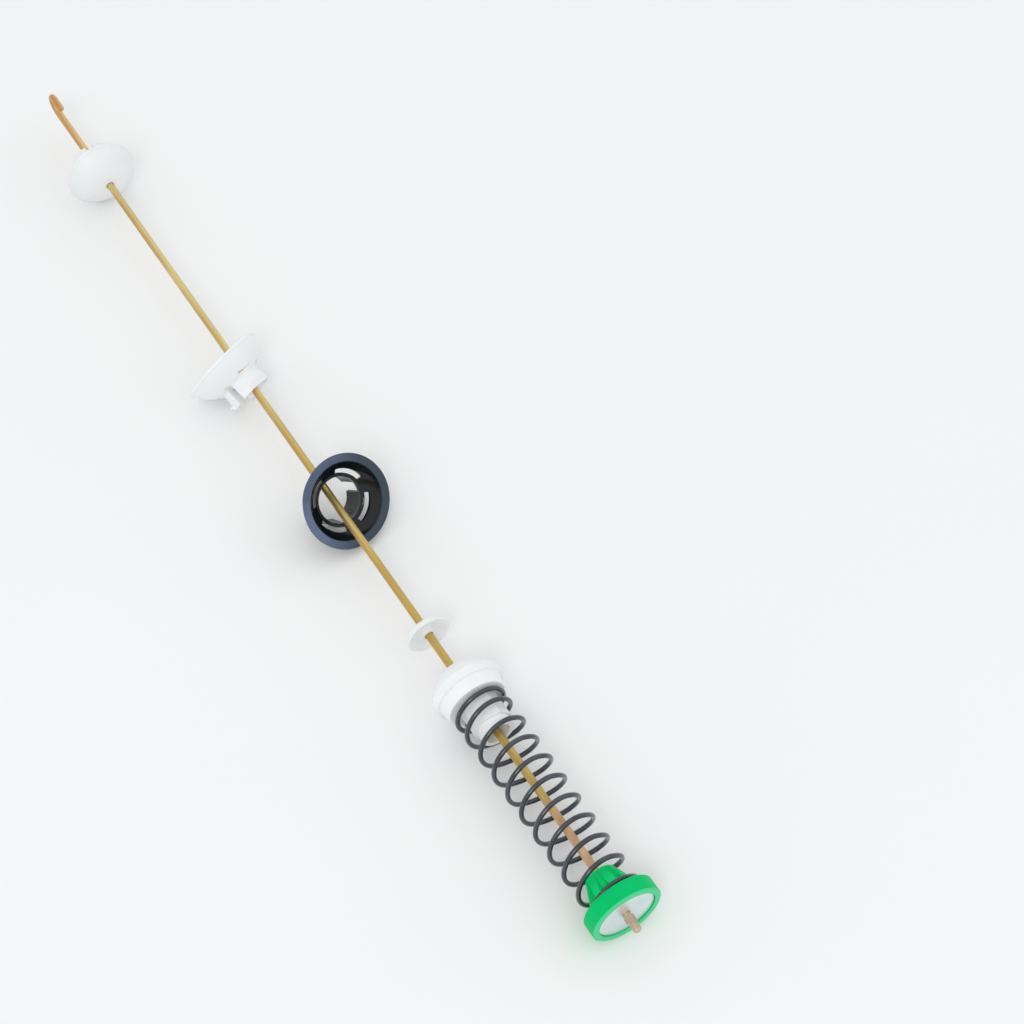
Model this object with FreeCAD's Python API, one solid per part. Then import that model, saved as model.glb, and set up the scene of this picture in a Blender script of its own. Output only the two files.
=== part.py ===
"""Suspension rod of a top-loading washing machine, lying on the floor with its loose pieces on it.

The rod runs along X with its hook toward -X and its staked tip toward +X. It rests on the ball's
brim and the spring seat's band, so it slopes a little toward the tip.
Lengths are in millimetres. Stations are distances along the rod from the outside of the hook.
"""
import FreeCAD, Part
import math
import os

from FreeCAD import Placement, Rotation, Vector

# Rod
ROD_LENGTH = 689.5
ROD_D = 4.5
HOOK_SPACING = 13.5
HOOK_LEG = 11.0
HOOK_LEAN_DEG = 6.5
HOOK_END_ROUND = 1.6
TIP_ROUND = 1.2
TIP_OVERHANG = 11.0
STAKE_START = 1.2
STAKE_LENGTH = 5.0
STAKE_SPREAD = 5.7
STAKE_EAR_THICKNESS = 2.6
STAKE_FLAT_THICKNESS = 3.8

# Clearances
ROD_CLEARANCE = 0.35
SEATED_CLEARANCE = 0.3
FIXED_CLEARANCE = 0.1
TOUCH_GAP = 0.02
SPRING_CLEARANCE = 0.45
GUIDE_CLEARANCE = 2.0

# Spring
SPRING_OD = 31.3
SPRING_WIRE_D = 2.2
SPRING_HALF_TURNS = 21
SPRING_END_RISE = 3.5
SPRING_START_DEG = 225.0

# Spring seat and washer
SEAT_OD = 40.0
SEAT_BAND = 9.6
SEAT_HEIGHT = 25.8
SEAT_WASHER_RECESS = 3.0
SEAT_WEB = 4.0
SEAT_TOP_D = 16.0
SEAT_CORE_D = 20.5
SEAT_FINS = 8
SEAT_FIN_THICKNESS = 4.4
SEAT_FIN_STRAIGHT = 5.0
SEAT_EDGE = 0.8
WASHER_D = 32.6
WASHER_THICKNESS = 2.0
WASHER_EDGE = 0.3

# Slider
SLIDER_OD = 40.6
SLIDER_STATION = 536.0
SLIDER_SKIRT = 7.0
SLIDER_SKIRT_TOP_D = 37.2
SLIDER_SKIRT_FOOT_D = 33.4
SLIDER_RIM = 5.5
SLIDER_RIM_EDGE = 0.5
SLIDER_DOME_D = 39.2
SLIDER_DOME_HEIGHT = 12.5
SLIDER_GUIDE = 21.5
SLIDER_GUIDE_SIDES = 8
SLIDER_GUIDE_STEP = 5.5
SLIDER_GUIDE_STEP_IN = 0.8
SLIDER_WALL = 2.4
SLIDER_DOME_WALL = 3.0

# Bead
BEAD_STATION = 484.0
BEAD_D = 26.0
BEAD_RIM = 3.2
BEAD_RIM_EDGE = 0.8
BEAD_FACE_D = 9.0
BEAD_FACE_HEIGHT = 4.6
BEAD_DISH_D = 12.0
BEAD_DISH_DEPTH = 2.4
BEAD_BOSS_D = 9.0

# Upper ball
BALL_STATION = 73.0
BALL_BRIM_D = 45.4
BALL_BRIM = 2.2
BALL_BRIM_EDGE = 0.7
BALL_DOME_D = 43.4
BALL_DOME_HEIGHT = 12.5
BALL_HUB = 10.5
BALL_HUB_FOOT_D = 37.0
BALL_HUB_END_D = 29.6
BALL_HOOK_SLOT_DEPTH = 2.0

# Upper cup
UPPER_RIM_D = 52.0
UPPER_LIP = 1.4
UPPER_LIP_WIDTH = 1.9
UPPER_WALL = 1.8
UPPER_HOLE_D = 22.6
UPPER_BOWL_DEPTH = 13.5
UPPER_DEPTH = 25.0
UPPER_LEG_TOP_D = 26.0
UPPER_LEG_TIP_D = 27.8
UPPER_LEG_WALL = 1.6
UPPER_NOTCH_WIDTH = 4.6
UPPER_NOTCH_REACH = 14.0
UPPER_BARB = 1.8
UPPER_BARB_HEIGHT = 3.0
UPPER_BARB_WIDTH = 9.0
UPPER_WINDOW_WIDTH = 9.6
UPPER_WINDOW_DEPTH = 3.4
UPPER_LEGS = 3
UPPER_STATION = 257.4
UPPER_HEADING_DEG = 201.6
UPPER_LEAN_DEG = 25.0
UPPER_ROD_OFFSET = 1.7

# Lower cup
LOWER_RIM_D = 54.4
LOWER_LIP = 1.2
LOWER_MOUTH_D = 45.4
LOWER_WALL = 1.7
LOWER_HOLE_D = 26.6
LOWER_BOWL_DEPTH = 9.5
LOWER_SKIRT_D = 44.8
LOWER_SKIRT_TOP = 6.0
LOWER_SKIRT_DEPTH = 10.5
LOWER_DEPTH = 24.5
LOWER_LEG_TOP_D = 31.0
LOWER_LEG_TIP_D = 28.2
LOWER_LEG_WALL = 1.6
LOWER_SLOT_WIDTH = 6.5
LOWER_SLOT_TOP = 11.6
LOWER_BARB = 0.9
LOWER_BARB_HEIGHT = 2.4
LOWER_BARB_WIDTH = 9.0
LOWER_WINDOW_DEPTH = 2.6
LOWER_WINDOW_DEG = 58.0
LOWER_LEGS = 4
LOWER_STATION = 386.3
LOWER_HEADING_DEG = 10.4
LOWER_LEAN_DEG = 38.0
LOWER_ROD_OFFSET = 0.3

# Places that follow from the sizes
ROD_R = ROD_D / 2
BORE_R = ROD_R + ROD_CLEARANCE
HOOK_R = HOOK_SPACING / 2
HOOK_CENTRE = HOOK_R + ROD_R
WASHER_FACE = ROD_LENGTH - TIP_OVERHANG
SEAT_FOOT = WASHER_FACE + SEAT_WASHER_RECESS - WASHER_THICKNESS
GROOVE_HEIGHT = SEAT_WASHER_RECESS + SEAT_WEB
GROOVE_STATION = SEAT_FOOT - GROOVE_HEIGHT
SPRING_LENGTH = GROOVE_STATION - SLIDER_STATION - 2 * TOUCH_GAP
SPRING_OPEN_RISE = (SPRING_LENGTH - SPRING_WIRE_D - 2 * SPRING_END_RISE) / (SPRING_HALF_TURNS - 2)
SPRING_WIDE_R = (SPRING_OD - SPRING_WIRE_D) / 2
SPRING_R = math.sqrt(SPRING_WIDE_R ** 2 - (SPRING_OPEN_RISE / 2) ** 2)
SPRING_INSIDE_R = SPRING_R - SPRING_WIRE_D / 2
POST_R = SPRING_INSIDE_R - SPRING_CLEARANCE
GUIDE_R = SPRING_INSIDE_R - GUIDE_CLEARANCE
BRIM_TOUCH = BALL_STATION - BALL_BRIM_EDGE
SEAT_TOUCH = SEAT_FOOT - SEAT_EDGE
ROD_SLOPE = math.atan((BALL_BRIM_D - SEAT_OD) / 2 / (SEAT_TOUCH - BRIM_TOUCH))

Z_AXIS = Vector(0, 0, 1)
ORIGIN = Vector(0, 0, 0)


def outline(start, *moves):
    """Face in the XZ plane from (radius, height) points; a pair of points is an arc through the first."""
    edges = []
    here = Vector(start[0], 0, start[1])
    for move in moves + (start,):
        if isinstance(move[0], tuple):
            through = Vector(move[0][0], 0, move[0][1])
            there = Vector(move[1][0], 0, move[1][1])
            edges.append(Part.Arc(here, through, there).toShape())
        else:
            there = Vector(move[0], 0, move[1])
            edges.append(Part.makeLine(here, there))
        here = there
    return Part.Face(Part.Wire(edges))


def turned(start, *moves):
    """Solid of revolution about the local Z axis."""
    return outline(start, *moves).revolve(ORIGIN, Z_AXIS, 360)


def rod_hole(radius, low, high):
    """Round hole along the local Z axis."""
    return Part.makeCylinder(radius, high - low, Vector(0, 0, low))


def block(x_low, x_high, width, z_low, z_high):
    """Box centred on the XZ plane."""
    return Part.makeBox(x_high - x_low, width, z_high - z_low, Vector(x_low, -width / 2, z_low))


def around(shape, count, first_deg=0.0):
    """Copies of a tool spread evenly about the local Z axis."""
    copies = []
    for index in range(count):
        copy = shape.copy()
        copy.rotate(ORIGIN, Z_AXIS, first_deg + index * 360.0 / count)
        copies.append(copy)
    return copies


def cap_radius(base_r, height):
    """Radius of the ball whose cap has this base radius and height."""
    return (base_r ** 2 + height ** 2) / (2 * height)


def rod_height(station):
    """Height of the rod's axis above the floor."""
    return SEAT_OD / 2 * math.cos(ROD_SLOPE) + (SEAT_TOUCH - station) * math.sin(ROD_SLOPE)


def on_rod(shape, station):
    """Turns local Z to lie along the sloping rod and puts the local origin at a station."""
    placed = shape.copy()
    along = Rotation(Vector(0, 1, 0), 90 + math.degrees(ROD_SLOPE))
    from_tip = (station - ROD_LENGTH) * math.cos(ROD_SLOPE)
    place = Placement(Vector(ROD_LENGTH + from_tip, 0, rod_height(station)), along)
    placed.Placement = place.multiply(shape.Placement)
    return placed


def hook_plane(shape):
    """Leans a shape made about the rod's axis into the plane of the hook."""
    leaned = shape.copy()
    leaned.rotate(ORIGIN, Z_AXIS, HOOK_LEAN_DEG)
    return leaned


def round_ended(length, end_round):
    """Stretch of rod wire with its far end rounded."""
    knee = end_round * math.sqrt(0.5)
    return turned(
        (0, 0),
        (ROD_R, 0),
        (ROD_R, length - end_round),
        ((ROD_R - end_round + knee, length - end_round + knee), (ROD_R - end_round, length)),
        (0, length),
    )


def make_rod():
    """Bent wire with a hook at one end and staked flats and ears at the other."""
    long_leg = round_ended(ROD_LENGTH - HOOK_CENTRE, TIP_ROUND)
    section = Part.Face(Part.Wire(Part.makeCircle(ROD_R)))
    bend = section.revolve(Vector(-HOOK_R, 0, 0), Vector(0, 1, 0), 180)
    short_leg = round_ended(HOOK_LEG, HOOK_END_ROUND)
    short_leg.translate(Vector(-HOOK_SPACING, 0, 0))
    rod = on_rod(hook_plane(long_leg.fuse([bend, short_leg])), HOOK_CENTRE)

    taper = STAKE_SPREAD / 2 - ROD_R + SEATED_CLEARANCE
    ears = turned(
        (0, 0),
        (ROD_R, 0),
        (STAKE_SPREAD / 2, taper),
        (STAKE_SPREAD / 2, STAKE_LENGTH - taper),
        (ROD_R, STAKE_LENGTH),
        (0, STAKE_LENGTH),
    )
    half = STAKE_EAR_THICKNESS / 2
    ears = ears.common(Part.makeBox(STAKE_EAR_THICKNESS, ROD_D * 2, STAKE_LENGTH, Vector(-half, -ROD_D, 0)))
    flats = []
    for side in (1, -1):
        low = side * STAKE_FLAT_THICKNESS / 2
        start = min(low, low + side * ROD_R)
        flats.append(Part.makeBox(ROD_R, ROD_D * 2, STAKE_LENGTH, Vector(start, -ROD_D, 0)))
    stake = WASHER_FACE + STAKE_START
    rod = rod.cut([on_rod(flat, stake) for flat in flats])
    return rod.fuse(on_rod(ears, stake)).removeSplitter()


def make_spring():
    """Open-ended coil wound right-handed; each half turn is a ring sector tilted to its own rise."""
    open_turns = [SPRING_OPEN_RISE] * (SPRING_HALF_TURNS - 2)
    height = TOUCH_GAP + SPRING_WIRE_D / 2
    side = 1
    sectors = []
    for rise in [SPRING_END_RISE] + open_turns + [SPRING_END_RISE]:
        start = Vector(side * SPRING_R, 0, height)
        centre = Vector(0, 0, height + rise / 2)
        forward = Vector(0, side, 0)
        section = Part.Face(Part.Wire(Part.makeCircle(SPRING_WIRE_D / 2, start, forward)))
        sectors.append(section.revolve(centre, (start - centre).cross(forward), 180))
        height += rise
        side = -side
    coil = sectors[0].fuse(sectors[1:])
    coil.rotate(ORIGIN, Z_AXIS, SPRING_START_DEG)
    return on_rod(coil, SLIDER_STATION)


def make_seat():
    """Cap with a band round the spring's last turn, a finned post inside it and a recess for the washer."""
    band_r = SEAT_OD / 2
    groove_r = SPRING_OD / 2 + SPRING_CLEARANCE
    recess_r = WASHER_D / 2 + FIXED_CLEARANCE
    body = turned(
        (ROD_R + FIXED_CLEARANCE, SEAT_WASHER_RECESS),
        (recess_r, SEAT_WASHER_RECESS),
        (recess_r, 0),
        (band_r - SEAT_EDGE, 0),
        (band_r, SEAT_EDGE),
        (band_r, SEAT_BAND - SEAT_EDGE),
        (band_r - SEAT_EDGE, SEAT_BAND),
        (groove_r, SEAT_BAND),
        (groove_r, GROOVE_HEIGHT),
        (SEAT_CORE_D / 2, GROOVE_HEIGHT),
        (SEAT_CORE_D / 2, SEAT_BAND),
        (SEAT_TOP_D / 2, SEAT_HEIGHT),
        (ROD_R + FIXED_CLEARANCE, SEAT_HEIGHT),
    )
    fin_outline = outline(
        (ROD_R + SEAT_FIN_THICKNESS, GROOVE_HEIGHT),
        (POST_R, GROOVE_HEIGHT),
        (POST_R, SEAT_BAND + SEAT_FIN_STRAIGHT),
        (SEAT_TOP_D / 2, SEAT_HEIGHT),
        (ROD_R + SEAT_FIN_THICKNESS, SEAT_HEIGHT),
    )
    fin = fin_outline.extrude(Vector(0, SEAT_FIN_THICKNESS, 0))
    fin.translate(Vector(0, -SEAT_FIN_THICKNESS / 2, 0))
    seat = body.fuse(around(fin, SEAT_FINS)).removeSplitter()
    seat.rotate(ORIGIN, Vector(1, 0, 0), 180)
    return on_rod(seat, SEAT_FOOT)


def make_washer():
    """Flat steel disc between the seat and the staked end."""
    bore_r = ROD_R + FIXED_CLEARANCE
    disc = turned(
        (bore_r, -WASHER_THICKNESS + TOUCH_GAP),
        (WASHER_D / 2 - WASHER_EDGE, -WASHER_THICKNESS + TOUCH_GAP),
        (WASHER_D / 2, WASHER_EDGE - WASHER_THICKNESS),
        (WASHER_D / 2, -WASHER_EDGE),
        (WASHER_D / 2 - WASHER_EDGE, 0),
        (bore_r, 0),
    )
    return on_rod(disc, WASHER_FACE)


def make_slider():
    """Domed cap with a stepped rim, a shoulder for the spring and an eight-sided hollow guide."""
    rim_r = SLIDER_OD / 2
    dome_base = -SLIDER_SKIRT - SLIDER_RIM
    dome_r = cap_radius(SLIDER_DOME_D / 2, SLIDER_DOME_HEIGHT)
    dome_top = dome_base - SLIDER_DOME_HEIGHT
    dome_centre = dome_top + dome_r
    mid_r = SLIDER_DOME_D / 2 * math.sqrt(0.5)
    dome_mid = dome_centre - math.sqrt(dome_r ** 2 - mid_r ** 2)
    body = turned(
        (0, 0),
        (0, dome_top),
        ((mid_r, dome_mid), (SLIDER_DOME_D / 2, dome_base)),
        (rim_r - SLIDER_RIM_EDGE, dome_base),
        (rim_r, dome_base + SLIDER_RIM_EDGE),
        (rim_r, -SLIDER_SKIRT - SLIDER_RIM_EDGE),
        (rim_r - SLIDER_RIM_EDGE, -SLIDER_SKIRT),
        (SLIDER_SKIRT_TOP_D / 2, -SLIDER_SKIRT),
        (SLIDER_SKIRT_FOOT_D / 2, 0),
    )
    corners = []
    for index in range(SLIDER_GUIDE_SIDES + 1):
        angle = 2 * math.pi * (index + 0.5) / SLIDER_GUIDE_SIDES
        corners.append(Vector(GUIDE_R * math.cos(angle), GUIDE_R * math.sin(angle), -SLIDER_SKIRT))
    guide = Part.Face(Part.makePolygon(corners)).extrude(Vector(0, 0, SLIDER_GUIDE + SLIDER_SKIRT))
    flat_r = GUIDE_R * math.cos(math.pi / SLIDER_GUIDE_SIDES)
    step_start = SLIDER_GUIDE - SLIDER_GUIDE_STEP
    step_r = flat_r - SLIDER_GUIDE_STEP_IN
    collar = rod_hole(POST_R, step_start, SLIDER_GUIDE).cut(
        rod_hole(step_r, step_start, SLIDER_GUIDE)
    )
    hollow_r = step_r - SLIDER_WALL
    hollow_sphere = Part.makeSphere(dome_r - SLIDER_DOME_WALL, Vector(0, 0, dome_centre))
    hollow_top = rod_hole(hollow_r, dome_top, dome_centre).common(hollow_sphere)
    hollow = rod_hole(hollow_r, dome_centre, SLIDER_GUIDE)
    bore = rod_hole(BORE_R, dome_top, SLIDER_GUIDE)
    slider = body.fuse(guide).cut([collar, hollow_top, hollow, bore]).removeSplitter()
    return on_rod(slider, SLIDER_STATION)


def make_bead():
    """Small lens-shaped piece, dished toward the spring round a low boss."""
    rim_r = BEAD_D / 2
    half = BEAD_RIM / 2
    dish_floor = half - BEAD_DISH_DEPTH
    bead = turned(
        (BORE_R, -BEAD_FACE_HEIGHT),
        (BEAD_FACE_D / 2, -BEAD_FACE_HEIGHT),
        (rim_r - BEAD_RIM_EDGE, -half),
        (rim_r, BEAD_RIM_EDGE - half),
        (rim_r, half - BEAD_RIM_EDGE),
        (rim_r - BEAD_RIM_EDGE, half),
        (BEAD_DISH_D / 2, dish_floor),
        (BEAD_BOSS_D / 2, dish_floor),
        (BEAD_BOSS_D / 2, half),
        (BORE_R, half),
    )
    return on_rod(bead, BEAD_STATION)


def make_ball():
    """Hat-shaped ball: dome toward the cup, brim, and a hub slotted to take the hook."""
    dome_r = cap_radius(BALL_DOME_D / 2, BALL_DOME_HEIGHT)
    mid_r = BALL_DOME_D / 2 * math.sqrt(0.5)
    dome_mid = BALL_DOME_HEIGHT - dome_r + math.sqrt(dome_r ** 2 - mid_r ** 2)
    brim_r = BALL_BRIM_D / 2
    hub_end = -BALL_BRIM - BALL_HUB
    body = turned(
        (0, hub_end),
        (BALL_HUB_END_D / 2, hub_end),
        (BALL_HUB_FOOT_D / 2, -BALL_BRIM),
        (brim_r - BALL_BRIM_EDGE, -BALL_BRIM),
        (brim_r, -BALL_BRIM + BALL_BRIM_EDGE),
        (brim_r, -BALL_BRIM_EDGE),
        (brim_r - BALL_BRIM_EDGE, 0),
        (BALL_DOME_D / 2, 0),
        ((mid_r, dome_mid), (0, BALL_DOME_HEIGHT)),
    )
    bore = rod_hole(BORE_R, hub_end, BALL_DOME_HEIGHT)
    saddle_r = HOOK_R - ROD_R - SEATED_CLEARANCE
    bend_height = hub_end + BALL_HOOK_SLOT_DEPTH + HOOK_R - ROD_R
    saddle = Part.makeCylinder(saddle_r, 2 * BORE_R, Vector(-HOOK_R, -BORE_R, bend_height), Vector(0, 1, 0))
    hook_slot = block(-HOOK_SPACING, 0, 2 * BORE_R, hub_end, bend_height).cut(saddle)
    pocket = rod_hole(BORE_R, hub_end, bend_height + HOOK_LEG + SEATED_CLEARANCE)
    pocket.translate(Vector(-HOOK_SPACING, 0, 0))
    pocket_mouth = block(-BALL_BRIM_D, -HOOK_SPACING, 2 * BORE_R, hub_end, -BALL_BRIM)
    cuts = [hook_plane(tool) for tool in (hook_slot, pocket, pocket_mouth)]
    ball = body.cut([bore] + cuts).removeSplitter()
    return on_rod(ball, BALL_STATION)


def bowl(rim_r, hole_r, depth, wall):
    """Thin bowl below the local XY plane, with a hole at its foot."""
    centre = (rim_r ** 2 - hole_r ** 2 - depth ** 2) / (2 * depth)
    inner_r = math.sqrt(rim_r ** 2 + centre ** 2)
    middle = Vector(0, 0, centre)
    shell = Part.makeSphere(inner_r + wall, middle).cut(Part.makeSphere(inner_r, middle))
    below = rod_hole(inner_r + wall, -inner_r - wall, 0)
    return shell.common(below).cut(rod_hole(hole_r, -2 * inner_r, 0))


def barbs(tip_r, reach, height, width, depth, legs):
    """Ramped catches on the outside of the legs' tips, one for each leg."""
    ring = turned(
        (tip_r - reach, -depth),
        (tip_r, -depth),
        (tip_r + reach, height - depth),
        (tip_r - reach, height - depth),
    )
    cutter = block(0, 2 * tip_r, width, -depth, height - depth)
    return [ring.common(tool) for tool in around(cutter, legs, half_step(legs))]


def half_step(legs):
    """Angle from a slot to the middle of the leg beside it."""
    return 180.0 / legs


def leg_tube(top_r, tip_r, wall, top, depth, hole_r):
    """Tapered collar that the slots divide into legs."""
    return turned(
        (hole_r, -top),
        (top_r, -top),
        (tip_r, -depth),
        (tip_r - wall, -depth),
        (top_r - wall, -top - wall),
        (hole_r, -top - wall),
    )


def cup_pose(heading_deg, lean_deg, depth, rod_offset, rim_height, station):
    """Leans a cup's opening axis up from the floor, with the rod a stated way off centre at its foot."""
    turn = Rotation(Z_AXIS, heading_deg)
    pose = turn.multiply(Rotation(Vector(0, 1, 0), 90 - lean_deg))
    opening = pose.multVec(Z_AXIS)
    up_slope = pose.multVec(Vector(-1, 0, 0))
    across = pose.multVec(Vector(0, 1, 0))
    foot_height = rim_height - depth * opening.z
    foot_station = station - depth * opening.x
    rise = (rod_height(foot_station) - foot_height) / up_slope.z
    foot_y = -(rise * up_slope.y + rod_offset * across.y)
    return Placement(Vector(station, foot_y + depth * opening.y, rim_height), pose)


def make_upper_cup():
    """White bowl for the ball, with three snap legs parted by round-ended notches."""
    rim_r = UPPER_RIM_D / 2
    mouth_r = rim_r - UPPER_LIP_WIDTH
    hole_r = UPPER_HOLE_D / 2
    tip_r = UPPER_LEG_TIP_D / 2
    shell = bowl(mouth_r, hole_r, UPPER_BOWL_DEPTH, UPPER_WALL)
    lip = turned((mouth_r, 0), (rim_r, 0), (rim_r, -UPPER_LIP), (mouth_r, -UPPER_LIP))
    leg_top = UPPER_BOWL_DEPTH - UPPER_WALL / 2
    legs = leg_tube(UPPER_LEG_TOP_D / 2, tip_r, UPPER_LEG_WALL, leg_top, UPPER_DEPTH, hole_r)
    catches = barbs(tip_r, UPPER_BARB, UPPER_BARB_HEIGHT, UPPER_BARB_WIDTH, UPPER_DEPTH, UPPER_LEGS)
    cup = shell.fuse([lip, legs] + catches)
    notch = block(0, UPPER_NOTCH_REACH, UPPER_NOTCH_WIDTH, -UPPER_DEPTH, 0)
    notch_end = rod_hole(UPPER_NOTCH_WIDTH / 2, -UPPER_DEPTH, 0)
    notch_end.translate(Vector(UPPER_NOTCH_REACH, 0, 0))
    window_start = UPPER_LEG_TOP_D / 2
    window_end = window_start + UPPER_WINDOW_DEPTH
    bowl_foot = -UPPER_BOWL_DEPTH - UPPER_WALL
    window = block(window_start, window_end, UPPER_WINDOW_WIDTH, bowl_foot, 0)
    tools = around(notch, UPPER_LEGS) + around(notch_end, UPPER_LEGS)
    tools += around(window, UPPER_LEGS, half_step(UPPER_LEGS))
    cup = cup.cut(tools).removeSplitter()

    lean = math.radians(UPPER_LEAN_DEG)
    rim_height = rim_r * math.cos(lean) + UPPER_LIP * math.sin(lean)
    cup.Placement = cup_pose(
        UPPER_HEADING_DEG, UPPER_LEAN_DEG, UPPER_DEPTH, UPPER_ROD_OFFSET, rim_height, UPPER_STATION
    )
    return cup


def make_lower_cup():
    """Black bowl for the slider's dome, with a wide lip, a skirt round the bowl and slotted legs."""
    rim_r = LOWER_RIM_D / 2
    mouth_r = LOWER_MOUTH_D / 2
    hole_r = LOWER_HOLE_D / 2
    skirt_r = LOWER_SKIRT_D / 2
    tip_r = LOWER_LEG_TIP_D / 2
    shell = bowl(mouth_r, hole_r, LOWER_BOWL_DEPTH, LOWER_WALL)
    flange = turned(
        (mouth_r, 0),
        (rim_r, 0),
        (rim_r, -LOWER_LIP / 2),
        (skirt_r, -LOWER_SKIRT_TOP),
        (skirt_r, -LOWER_SKIRT_DEPTH),
        (skirt_r - LOWER_WALL, -LOWER_SKIRT_DEPTH),
        (skirt_r - LOWER_WALL, -LOWER_SKIRT_TOP),
        (mouth_r, -LOWER_LIP),
    )
    leg_top = LOWER_BOWL_DEPTH - LOWER_WALL / 2
    legs = leg_tube(LOWER_LEG_TOP_D / 2, tip_r, LOWER_LEG_WALL, leg_top, LOWER_DEPTH, hole_r)
    catches = barbs(tip_r, LOWER_BARB, LOWER_BARB_HEIGHT, LOWER_BARB_WIDTH, LOWER_DEPTH, LOWER_LEGS)
    cup = shell.fuse([flange, legs] + catches)
    slot = block(0, rim_r, LOWER_SLOT_WIDTH, -LOWER_DEPTH, -LOWER_SLOT_TOP)
    window_r = LOWER_LEG_TOP_D / 2
    window_face = outline(
        (window_r, 0),
        (window_r + LOWER_WINDOW_DEPTH, 0),
        (window_r + LOWER_WINDOW_DEPTH, -LOWER_SKIRT_DEPTH),
        (window_r, -LOWER_SKIRT_DEPTH),
    )
    window = window_face.revolve(ORIGIN, Z_AXIS, LOWER_WINDOW_DEG)
    first_window = half_step(LOWER_LEGS) - LOWER_WINDOW_DEG / 2
    tools = around(slot, LOWER_LEGS) + around(window, LOWER_LEGS, first_window)
    cup = cup.cut(tools).removeSplitter()

    lean = math.radians(LOWER_LEAN_DEG)
    leg_reach = math.sqrt(tip_r ** 2 - (LOWER_SLOT_WIDTH / 2) ** 2)
    rim_height = LOWER_DEPTH * math.sin(lean) + leg_reach * math.cos(lean)
    cup.Placement = cup_pose(
        LOWER_HEADING_DEG, LOWER_LEAN_DEG, LOWER_DEPTH, LOWER_ROD_OFFSET, rim_height, LOWER_STATION
    )
    return cup


def main():
    parts = {
        "rod": make_rod(),
        "upper_ball": make_ball(),
        "upper_cup": make_upper_cup(),
        "lower_cup": make_lower_cup(),
        "bead": make_bead(),
        "slider": make_slider(),
        "spring": make_spring(),
        "spring_seat": make_seat(),
        "washer": make_washer(),
    }
    whole = Part.makeCompound(list(parts.values())).optimalBoundingBox()
    to_centre = Vector(-whole.Center.x, -whole.Center.y, -whole.ZMin)
    os.makedirs("parts", exist_ok=True)
    for name, shape in parts.items():
        shape.translate(to_centre)
        shape.exportStep(os.path.join("parts", name + ".step"))


main()
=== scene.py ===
import math

import bmesh
import bpy
from mathutils import Matrix, Vector


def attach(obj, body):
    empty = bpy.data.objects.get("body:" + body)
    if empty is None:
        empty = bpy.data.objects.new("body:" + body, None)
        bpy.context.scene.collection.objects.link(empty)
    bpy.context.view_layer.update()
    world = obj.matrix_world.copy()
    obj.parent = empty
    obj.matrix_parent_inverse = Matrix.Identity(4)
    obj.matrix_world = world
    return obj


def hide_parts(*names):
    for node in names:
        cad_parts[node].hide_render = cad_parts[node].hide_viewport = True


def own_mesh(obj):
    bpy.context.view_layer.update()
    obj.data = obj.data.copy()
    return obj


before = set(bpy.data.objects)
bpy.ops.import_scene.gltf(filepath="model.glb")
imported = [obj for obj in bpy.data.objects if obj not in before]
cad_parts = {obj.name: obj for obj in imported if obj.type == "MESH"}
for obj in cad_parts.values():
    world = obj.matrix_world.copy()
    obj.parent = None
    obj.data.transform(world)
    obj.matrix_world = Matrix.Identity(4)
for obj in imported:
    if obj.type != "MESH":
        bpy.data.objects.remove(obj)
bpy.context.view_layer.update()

# Camera, in metres, as fitted to the photograph
CAMERA_PLACE = (0.72965, -0.30745, 0.9937)
CAMERA_FORWARD = (-0.5194, 0.3176, -0.7934)
CAMERA_LENS_MM = 77.06
CAMERA_SENSOR_MM = 36.0

# The rod's axis in the row frame
AXIS_Y = 0.00055
ROD_SLOPE = math.radians(0.2551)
TIP_X = 0.34473
ROD_LENGTH = 0.6895
ROD_R = 0.00225
SEAT_TOUCH_STATION = 0.6787
SEAT_R = 0.020

# The coil, in the place of the solid model's, with the closed end turns that the photograph shows
COIL_STATION = 0.536
COIL_LENGTH = 0.13646
COIL_OD = 0.0330
COIL_WIRE_D = 0.0027
COIL_START_RISES = (0.0010, 0.0029, 0.0046)
COIL_OPEN_HALF_TURNS = 18
COIL_END_RISE = 0.0046
COIL_START_DEG = 328.0
COIL_SAG = 0.001
COIL_TOUCH_GAP = 0.00002
COIL_STEPS_PER_HALF_TURN = 32
COIL_SIDES = 20
COIL_END_ROUND = 0.0003

# Places that the colours follow
HOOK_COPPER_X = (-0.290, -0.255)
PALE_X = (0.06, -0.14)
SPRING_COPPER_X = (0.252, 0.276)
TIP_PINK_X = (0.3335, 0.3350)
BAND_EDGE_X = (0.3338, 0.3345)
BAND_START_X = 0.3250
BAND_UNDER_Z = (0.013, 0.001)
BLACK_CUP_AXIS = (0.775065, 0.142251, 0.615661)
BLACK_CUP_PLACE = (0.0335, 0.0035, 0.0196)
BLACK_SHEEN_WAY = (0.522, 0.853, 0.0)
BLACK_LIP_DEPTH = 0.0009
BLACK_SHEEN_REACH = (-0.006, 0.014)

# Colours; where there are several, the surface varies from the first to the last
GOLD = ((0.55, 0.38, 0.095), (0.66, 0.50, 0.155), (0.76, 0.62, 0.25))
PALE_GOLD = (0.80, 0.68, 0.34)
PEACH = ((0.64, 0.34, 0.12), (0.90, 0.63, 0.31))
# Painted shade: brown on the shaded side of the rod and of the hook
ROD_PAINTED_SHADE = (0.55, 0.32, 0.085)
HOOK_PAINTED_SHADE = (0.56, 0.25, 0.075)
# Painted highlight: pale yellow on the lit side of the rod
ROD_PAINTED_HIGHLIGHT = (0.80, 0.71, 0.33)
DARK_GRAIN = (0.46, 0.32, 0.10)
PALE_GRAIN = (0.86, 0.77, 0.48)
COPPER = ((0.46, 0.235, 0.125), (0.72, 0.46, 0.29))
TIP_PINK = (0.64, 0.50, 0.40)
SPRING_STEEL = ((0.038, 0.042, 0.051), (0.074, 0.081, 0.097))
GREEN = ((0.0, 0.49, 0.125), (0.0, 0.57, 0.155))
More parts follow.
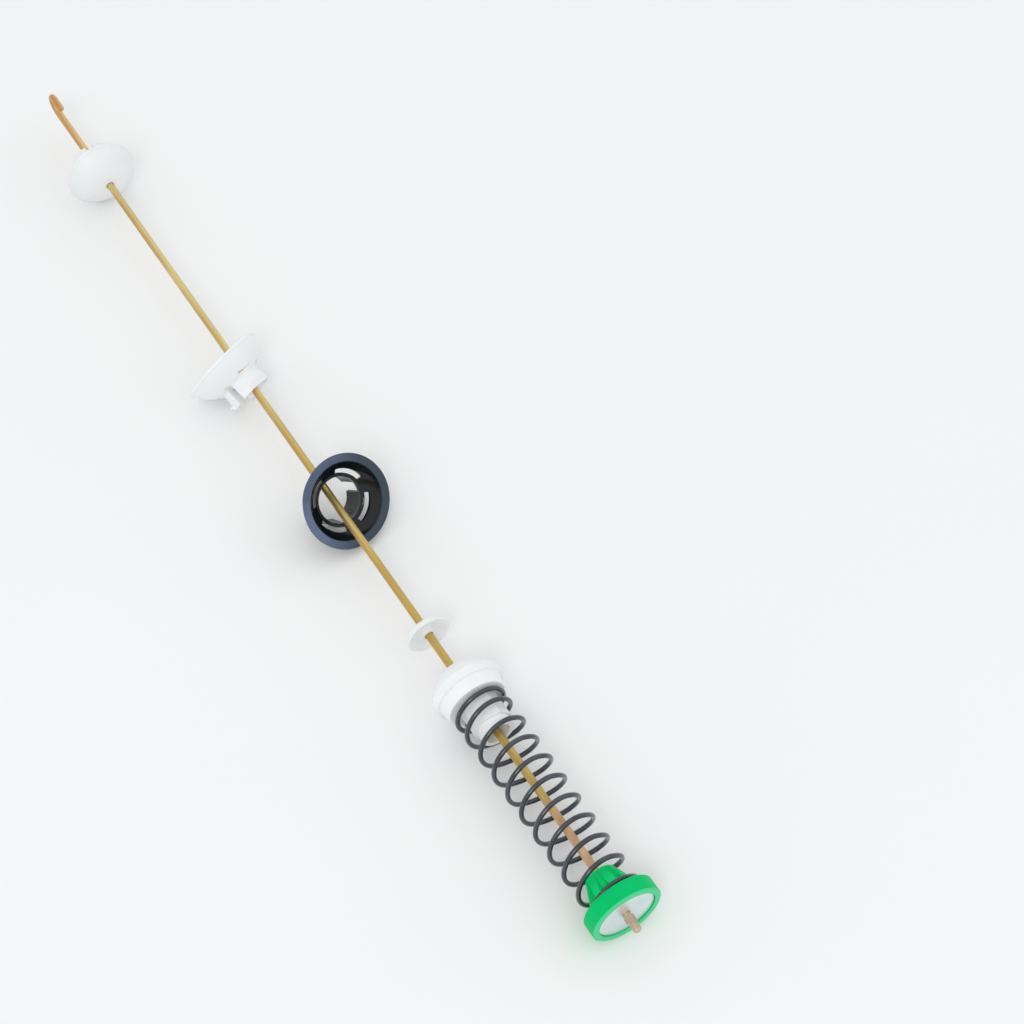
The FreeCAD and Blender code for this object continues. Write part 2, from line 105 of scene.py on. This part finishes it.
# Painted glow: brighter green on the fins, standing in for light coming through them
GREEN_FINS_PAINTED_GLOW = (0.005, 0.70, 0.20)
# Painted glow: pale mint at the band's end edge and underside, standing in for light coming through them
GREEN_PAINTED_GLOW = (0.12, 0.67, 0.35)
BLACK = ((0.004, 0.006, 0.007), (0.008, 0.011, 0.013))
# Painted reflection: bluish grey on the lip
BLACK_LIP_PAINTED_SHEEN = ((0.060, 0.085, 0.138), (0.130, 0.165, 0.275))
# Painted shade: darker grey on the lip's far side, where the painted reflection fades
BLACK_LIP_PAINTED_SHADE = (0.030, 0.042, 0.056)
WASHER_ZINC = ((0.72, 0.785, 0.80), (0.78, 0.84, 0.855))
CUP_WHITE = ((0.87, 0.88, 0.89), (0.895, 0.905, 0.915))
SLIDER_WHITE = ((0.87, 0.875, 0.88), (0.895, 0.90, 0.905))
MILKY = ((0.81, 0.825, 0.83), (0.845, 0.86, 0.865))
FLOOR_PALE = ((0.905, 0.905, 0.905), (0.92, 0.92, 0.92))

# Roughness, from the glossiest places to the dullest
WIRE_GLOSS = (0.38, 0.48)
SPRING_GLOSS = (0.18, 0.28)
PLASTIC_GLOSS = (0.34, 0.46)
SLIDER_GLOSS = (0.36, 0.48)
BLACK_GLOSS = (0.08, 0.16)
BLACK_LIP_GLOSS = (0.40, 0.40, 0.40)
WASHER_GLOSS = (0.34, 0.48)
BUMP_DEPTH = 0.0001

# Facets that lean less than this from their neighbours are shaded with them
FACET_COS = math.cos(math.radians(10))
SMOOTHED = ("rod", "upper_ball", "upper_cup", "lower_cup", "bead", "slider", "spring_seat")

# Studio
FLOOR_SIZE = 14.0
WORLD_AT_HORIZON = 0.86
WORLD_OVERHEAD = 0.94
WORLD_COLOR = (0.97, 0.99, 1.0, 1.0)
KEY_PLACE = (2.2, -1.6, 2.9)
KEY_SIZE = 1.1
KEY_WATTS = 22.0
KEY_COLOR = (1.0, 0.99, 0.97)


def on_rod(station):
    """Matrix that puts local Z along the sloping rod, with its origin at a station."""
    height = SEAT_R * math.cos(ROD_SLOPE) + (SEAT_TOUCH_STATION - station) * math.sin(ROD_SLOPE)
    along = TIP_X - (ROD_LENGTH - station) * math.cos(ROD_SLOPE)
    turn = Matrix.Rotation(math.radians(90) + ROD_SLOPE, 4, "Y")
    return Matrix.Translation((along, AXIS_Y, height)) @ turn


class Nodes:
    """Small helper that adds and joins shader nodes of one material."""

    def __init__(self, name):
        self.material = bpy.data.materials.new(name)
        self.material.use_nodes = True
        self.tree = self.material.node_tree
        self.shader = self.tree.nodes["Principled BSDF"]
        self.place = self.add("ShaderNodeTexCoord").outputs["Object"]

    def add(self, kind, **settings):
        node = self.tree.nodes.new(kind)
        for key, value in settings.items():
            setattr(node, key, value)
        return node

    def join(self, source, target):
        if isinstance(source, (int, float, tuple)):
            target.default_value = source
        else:
            self.tree.links.new(source, target)

    def set(self, **values):
        """Sets constant values on the shader's own sockets."""
        for key, value in values.items():
            self.shader.inputs[key.replace("_", " ")].default_value = value

    def math(self, operation, a, b=0.0):
        node = self.add("ShaderNodeMath", operation=operation)
        self.join(a, node.inputs[0])
        self.join(b, node.inputs[1])
        return node.outputs[0]

    def stretched(self, scale):
        """The place in the row frame, scaled along each axis."""
        node = self.add("ShaderNodeMapping")
        self.join(self.place, node.inputs["Vector"])
        node.inputs["Scale"].default_value = scale
        return node.outputs["Vector"]

    def noise(self, scale, detail=3.0, rough=0.5, place=None):
        node = self.add("ShaderNodeTexNoise")
        self.join(place or self.place, node.inputs["Vector"])
        node.inputs["Scale"].default_value = scale
        node.inputs["Detail"].default_value = detail
        node.inputs["Roughness"].default_value = rough
        return node.outputs["Fac"]

    def ramp(self, factor, *stops):
        node = self.add("ShaderNodeValToRGB")
        self.join(factor, node.inputs["Fac"])
        elements = node.color_ramp.elements
        while len(elements) < len(stops):
            elements.new(0.5)
        for element, (position, color) in zip(elements, stops):
            element.position = position
            element.color = (*color, 1.0) if isinstance(color, tuple) else (color, color, color, 1.0)
        return node.outputs["Color"]

    def between(self, factor, ends, low=0.3, high=0.7):
        """Ramp from the first of two colours or levels to the second."""
        return self.ramp(factor, (low, ends[0]), (high, ends[1]))

    def span(self, value, low, high, low_out=0.0, high_out=1.0):
        """Smooth step of a value between two limits."""
        node = self.add("ShaderNodeMapRange", interpolation_type="SMOOTHSTEP")
        self.join(value, node.inputs["Value"])
        node.inputs["From Min"].default_value = low
        node.inputs["From Max"].default_value = high
        node.inputs["To Min"].default_value = low_out
        node.inputs["To Max"].default_value = high_out
        return node.outputs["Result"]

    def mix(self, factor, a, b):
        node = self.add("ShaderNodeMix", data_type="RGBA")
        self.join(factor, node.inputs["Factor"])
        self.join((*a, 1.0) if isinstance(a, tuple) else a, node.inputs["A"])
        self.join((*b, 1.0) if isinstance(b, tuple) else b, node.inputs["B"])
        return node.outputs["Result"]

    def axis(self, name):
        node = self.add("ShaderNodeSeparateXYZ")
        self.join(self.place, node.inputs["Vector"])
        return node.outputs[name]

    def along(self, direction):
        """Distance along a direction in the row frame."""
        node = self.add("ShaderNodeVectorMath", operation="DOT_PRODUCT")
        self.join(self.place, node.inputs[0])
        node.inputs[1].default_value = direction
        return node.outputs["Value"]

    def bump(self, height, strength):
        node = self.add("ShaderNodeBump")
        self.join(height, node.inputs["Height"])
        node.inputs["Strength"].default_value = strength
        node.inputs["Distance"].default_value = BUMP_DEPTH
        self.join(node.outputs["Normal"], self.shader.inputs["Normal"])

    def color(self, value):
        self.join(value, self.shader.inputs["Base Color"])

    def roughness(self, value):
        self.join(value, self.shader.inputs["Roughness"])


def plated_wire():
    """Yellow zinc plating on drawn wire, with painted shade in brown on one side and a painted highlight
    in pale yellow on the other.

    It is peach at the hook and copper near the tip.
    """
    n = Nodes("plated_wire")
    x = n.axis("X")
    y = n.axis("Y")
    streaks = n.stretched((0.14, 1.0, 1.0))
    cloud = n.noise(70.0, 4.0, 0.55, streaks)
    patch = n.noise(160.0, 3.0, 0.5, streaks)
    gold = n.ramp(cloud, *zip((0.30, 0.52, 0.74), GOLD))
    gold = n.mix(n.span(x, *PALE_X, 0.0, 0.55), gold, PALE_GOLD)
    hook = n.span(x, *HOOK_COPPER_X, 0.85, 0.0)
    gold = n.mix(hook, gold, n.between(patch, PEACH, 0.32, 0.68))
    # Painted shade colour for the shaded side, browner at the hook
    painted_shade = n.mix(hook, ROD_PAINTED_SHADE, HOOK_PAINTED_SHADE)
    left = n.span(y, AXIS_Y + 0.1 * ROD_R, AXIS_Y - 0.9 * ROD_R)
    right = n.span(y, AXIS_Y, AXIS_Y + 0.9 * ROD_R)
    # Mask for the painted shade on the rod's −Y side
    painted_shade_mask = n.math("MULTIPLY", left, n.span(patch, 0.32, 0.58))
    # Mask for the painted highlight on the rod's +Y side
    painted_highlight_mask = n.math("MULTIPLY", right, n.span(cloud, 0.40, 0.60))
    wire = n.mix(n.math("MULTIPLY", painted_shade_mask, 0.90), gold, painted_shade)
    wire = n.mix(n.math("MULTIPLY", painted_highlight_mask, 0.80), wire, ROD_PAINTED_HIGHLIGHT)
    grain = n.noise(1.0, 3.0, 0.6, n.stretched((14.0, 1500.0, 1500.0)))
    wire = n.mix(n.span(grain, 0.48, 0.66, 0.0, 0.45), wire, DARK_GRAIN)
    wire = n.mix(n.span(grain, 0.46, 0.30, 0.0, 0.40), wire, PALE_GRAIN)
    copper = n.between(patch, COPPER, 0.32, 0.68)
    wire = n.mix(n.span(x, *SPRING_COPPER_X, 0.0, 0.85), wire, copper)
    n.color(n.mix(n.span(x, *TIP_PINK_X, 0.0, 0.8), wire, TIP_PINK))
    lines = n.noise(1.0, 3.0, 0.6, n.stretched((60.0, 5200.0, 5200.0)))
    n.set(Metallic=0.7)
    n.roughness(n.between(n.noise(240.0), WIRE_GLOSS))
    n.bump(lines, 0.14)
    return n.material


def spring_wire():
    """Dark oiled spring steel with a bluish cast."""
    n = Nodes("spring_wire")
    cloud = n.noise(120.0, 3.0)
    n.color(n.between(cloud, SPRING_STEEL))
    n.set(Metallic=0.85, Specular_IOR_Level=0.5, Coat_Weight=0.8, Coat_Roughness=0.08)
    n.roughness(n.between(n.noise(420.0, 4.0), SPRING_GLOSS))
    n.bump(n.noise(900.0, 3.0), 0.06)
    return n.material


def moulded(name, colors, gloss=PLASTIC_GLOSS, glow=0.0, reach=0.004):
    """Moulded plastic with a faintly uneven colour and gloss, and some light inside it."""
    n = Nodes(name)
    n.tone = n.between(n.noise(55.0, 3.0), colors)
    n.color(n.tone)
    n.roughness(n.between(n.noise(160.0, 3.0), gloss))
    n.set(Subsurface_Weight=glow, Subsurface_Radius=(1.0, 1.0, 0.95), Subsurface_Scale=reach)
    n.bump(n.noise(420.0, 2.0), 0.01)
    return n


def green_plastic():
    """Bright green moulded plastic, with painted glow: pale mint at the band's end edge and underside, and
    brighter green on the fins.
    """
    n = moulded("green_plastic", GREEN)
    x = n.axis("X")
    # Masks for the painted glow at the band's end edge and on its underside
    edge = n.span(x, *BAND_EDGE_X, 0.0, 0.75)
    low = n.span(n.axis("Z"), *BAND_UNDER_Z, 0.0, 0.55)
    under = n.math("MULTIPLY", low, n.span(x, BAND_START_X, BAND_EDGE_X[1]))
    # Mask for the painted glow on the fins
    fins = n.span(x, BAND_START_X, BAND_START_X - 0.001, 0.0, 0.8)
    tone = n.mix(fins, n.tone, GREEN_FINS_PAINTED_GLOW)
    n.color(n.mix(n.math("MAXIMUM", edge, under), tone, GREEN_PAINTED_GLOW))
    n.set(Specular_IOR_Level=0.06)
    return n.material


def black_plastic():
    """Black gloss plastic with a duller lip, which carries a painted bluish reflection on one side and
    painted shade on the other.
    """
    n = moulded("black_plastic", BLACK, BLACK_GLOSS)
    axis = Vector(BLACK_CUP_AXIS)
    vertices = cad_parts["lower_cup"].data.vertices
    face = max(vertex.co.dot(axis) for vertex in vertices)
    depth = n.along(BLACK_CUP_AXIS)
    lip = n.span(depth, face - BLACK_LIP_DEPTH, face - 0.3 * BLACK_LIP_DEPTH)
    # Painted reflection on the lip
    lip_sheen = n.between(n.noise(38.0, 3.0), BLACK_LIP_PAINTED_SHEEN)
    middle = Vector(BLACK_CUP_PLACE).dot(Vector(BLACK_SHEEN_WAY))
    near, far = (middle + reach for reach in BLACK_SHEEN_REACH)
    # Mask that fades the painted reflection into painted shade across the lip
    shade_side = n.span(n.along(BLACK_SHEEN_WAY), near, far, 0.0, 0.85)
    n.color(n.mix(lip, n.tone, n.mix(shade_side, lip_sheen, BLACK_LIP_PAINTED_SHADE)))
    gloss = n.between(n.noise(160.0), BLACK_GLOSS)
    n.roughness(n.mix(lip, gloss, BLACK_LIP_GLOSS))
    n.set(Specular_IOR_Level=0.35)
    return n.material


def washer_steel():
    """Satin zinc plating with fine turning marks round the rod."""
    n = Nodes("washer_steel")
    rings = n.add("ShaderNodeTexNoise")
    offset = n.add("ShaderNodeVectorMath", operation="SUBTRACT")
    n.join(n.place, offset.inputs[0])
    offset.inputs[1].default_value = (0.0, AXIS_Y, SEAT_R)
    length = n.add("ShaderNodeVectorMath", operation="LENGTH")
    flat = n.add("ShaderNodeVectorMath", operation="MULTIPLY")
    n.join(offset.outputs["Vector"], flat.inputs[0])
    flat.inputs[1].default_value = (0.0, 1.0, 1.0)
    n.join(flat.outputs["Vector"], length.inputs[0])
    rings.noise_dimensions = "1D"
    n.join(length.outputs["Value"], rings.inputs["W"])
    rings.inputs["Scale"].default_value = 2200.0
    rings.inputs["Detail"].default_value = 4.0
    n.color(n.between(n.noise(140.0), WASHER_ZINC))
    n.set(Metallic=0.85)
    n.roughness(n.between(rings.outputs["Fac"], WASHER_GLOSS))
    n.bump(rings.outputs["Fac"], 0.04)
    return n.material


def floor_paper():
    """Plain pale backdrop paper."""
    n = Nodes("floor_paper")
    n.color(n.between(n.noise(3.0, 2.0), FLOOR_PALE))
    n.set(Roughness=0.9, Specular_IOR_Level=0.2)
    return n.material


def dress(node, material):
    """Gives a solid of the model its material."""
    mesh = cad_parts[node].data
    mesh.materials.clear()
    mesh.materials.append(material)


def even_shading(node):
    """Shades small flat facets on a curved face as their neighbours are shaded."""
    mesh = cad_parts[node].data
    normals = [corner.vector.copy() for corner in mesh.corner_normals]
    curved = {}
    for face in mesh.polygons:
        for corner in face.loop_indices if face.use_smooth else ():
            curved.setdefault(mesh.loops[corner].vertex_index, []).append(normals[corner])
    for face in mesh.polygons:
        for corner in () if face.use_smooth else face.loop_indices:
            around = curved.get(mesh.loops[corner].vertex_index, ())
            near = [normal for normal in around if normal.dot(face.normal) > FACET_COS]
            if near:
                normals[corner] = sum(near, Vector()).normalized()
    mesh.shade_smooth()
    mesh.normals_split_custom_set(normals)


def coil_points():
    """Centre line of the wire: half turns of tilted circles, closer together at the ends."""
    closed = sum(COIL_START_RISES) + COIL_END_RISE
    open_rise = (COIL_LENGTH - COIL_WIRE_D - 2 * COIL_TOUCH_GAP - closed) / COIL_OPEN_HALF_TURNS
    wide_r = (COIL_OD - COIL_WIRE_D) / 2
    radius = math.sqrt(wide_r ** 2 - (open_rise / 2) ** 2)
    rises = [*COIL_START_RISES] + [open_rise] * COIL_OPEN_HALF_TURNS + [COIL_END_RISE]
    height = COIL_TOUCH_GAP + COIL_WIRE_D / 2
    side = 1
    points = []
    for rise in rises:
        start = Vector((side * radius, 0, height))
        centre = Vector((0, 0, height + rise / 2))
        arm = start - centre
        forward = Vector((0, side, 0)) * arm.length
        for step in range(COIL_STEPS_PER_HALF_TURN):
            angle = math.pi * step / COIL_STEPS_PER_HALF_TURN
            points.append(centre + arm * math.cos(angle) + forward * math.sin(angle))
        height += rise
        side = -side
    points.append(Vector((side * radius, 0, height)))
    return points


def ring_of(bm, centre, forward, radius):
    """One ring of vertices round the wire, counted from the side away from the coil's axis."""
    outward = Vector((centre.x, centre.y, 0)).normalized()
    outward = (outward - forward * outward.dot(forward)).normalized()
    across = forward.cross(outward)
    ring = []
    for index in range(COIL_SIDES):
        angle = 2 * math.pi * index / COIL_SIDES
        ring.append(bm.verts.new(centre + (outward * math.cos(angle) + across * math.sin(angle)) * radius))
    return ring


def make_coil(material):
    """Round wire along the coil's centre line, with its cut ends a little rounded."""
    points = coil_points()
    radius = COIL_WIRE_D / 2
    bm = bmesh.new()
    rings = []
    for index, point in enumerate(points):
        before = points[max(index - 1, 0)]
        after = points[min(index + 1, len(points) - 1)]
        forward = (after - before).normalized()
        if index == 0:
            rings.append(ring_of(bm, point, forward, radius - COIL_END_ROUND))
            point = point + forward * COIL_END_ROUND
        if index == len(points) - 1:
            rings.append(ring_of(bm, point - forward * COIL_END_ROUND, forward, radius))
            rings.append(ring_of(bm, point, forward, radius - COIL_END_ROUND))
        else:
            rings.append(ring_of(bm, point, forward, radius))
    for low, high in zip(rings, rings[1:]):
        for index in range(COIL_SIDES):
            following = (index + 1) % COIL_SIDES
            bm.faces.new((low[index], low[following], high[following], high[index]))
    bm.faces.new(list(reversed(rings[0])))
    bm.faces.new(rings[-1])
    bmesh.ops.recalc_face_normals(bm, faces=bm.faces)
    mesh = bpy.data.meshes.new("coil")
    sag = Matrix.Translation((0, 0, -COIL_SAG))
    bm.transform(sag @ on_rod(COIL_STATION) @ Matrix.Rotation(math.radians(COIL_START_DEG), 4, "Z"))
    bm.to_mesh(mesh)
    bm.free()
    mesh.shade_smooth()
    mesh.materials.append(material)
    coil = bpy.data.objects.new("coil", mesh)
    bpy.context.scene.collection.objects.link(coil)
    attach(coil, "rod")
    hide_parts("spring")
    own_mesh(coil)
    return coil


def make_floor():
    """Large plain floor just under the part."""
    mesh = bpy.data.meshes.new("floor")
    half = FLOOR_SIZE / 2
    corners = [(-half, -half, 0), (half, -half, 0), (half, half, 0), (-half, half, 0)]
    mesh.from_pydata(corners, [], [(0, 1, 2, 3)])
    mesh.materials.append(floor_paper())
    floor = bpy.data.objects.new("floor", mesh)
    bpy.context.scene.collection.objects.link(floor)


def make_light(name, place, size, watts, color):
    """Square soft box aimed at the middle of the part."""
    light = bpy.data.lights.new(name, "AREA")
    light.shape = "SQUARE"
    light.size = size
    light.energy = watts
    light.color = color
    lamp = bpy.data.objects.new(name, light)
    lamp.location = place
    lamp.rotation_euler = Vector(place).to_track_quat("Z", "Y").to_euler()
    bpy.context.scene.collection.objects.link(lamp)


def make_studio():
    """Plain soft light all round, with a large soft box at the front."""
    world = bpy.data.worlds.new("studio")
    bpy.context.scene.world = world
    world.use_nodes = True
    nodes = world.node_tree.nodes
    links = world.node_tree.links
    background = nodes["Background"]
    background.inputs["Color"].default_value = WORLD_COLOR
    way = nodes.new("ShaderNodeTexCoord")
    split = nodes.new("ShaderNodeSeparateXYZ")
    level = nodes.new("ShaderNodeMapRange")
    level.inputs["To Min"].default_value = WORLD_AT_HORIZON
    level.inputs["To Max"].default_value = WORLD_OVERHEAD
    links.new(way.outputs["Generated"], split.inputs["Vector"])
    links.new(split.outputs["Z"], level.inputs["Value"])
    links.new(level.outputs["Result"], background.inputs["Strength"])
    make_light("key", KEY_PLACE, KEY_SIZE, KEY_WATTS, KEY_COLOR)


def make_camera():
    """Camera at the photograph's viewing angle."""
    data = bpy.data.cameras.new("camera")
    data.sensor_fit = "HORIZONTAL"
    data.sensor_width = CAMERA_SENSOR_MM
    data.lens = CAMERA_LENS_MM
    data.clip_end = 50.0
    camera = bpy.data.objects.new("camera", data)
    camera.location = CAMERA_PLACE
    camera.rotation_euler = Vector(CAMERA_FORWARD).to_track_quat("-Z", "Y").to_euler()
    bpy.context.scene.collection.objects.link(camera)
    bpy.context.scene.camera = camera


def dress_model():
    """Gives every solid its material, and puts the coil in the spring's place."""
    dress("rod", plated_wire())
    dress("washer", washer_steel())
    dress("spring_seat", green_plastic())
    dress("lower_cup", black_plastic())
    dress("upper_cup", moulded("white_plastic", CUP_WHITE).material)
    dress("slider", moulded("slider_plastic", SLIDER_WHITE, SLIDER_GLOSS).material)
    milky = moulded("milky_plastic", MILKY, glow=0.05).material
    dress("upper_ball", milky)
    dress("bead", milky)
    make_coil(spring_wire())
    for node in SMOOTHED:
        even_shading(node)


def main():
    bpy.context.scene.view_settings.view_transform = "Standard"
    make_camera()
    make_studio()
    make_floor()
    dress_model()


main()
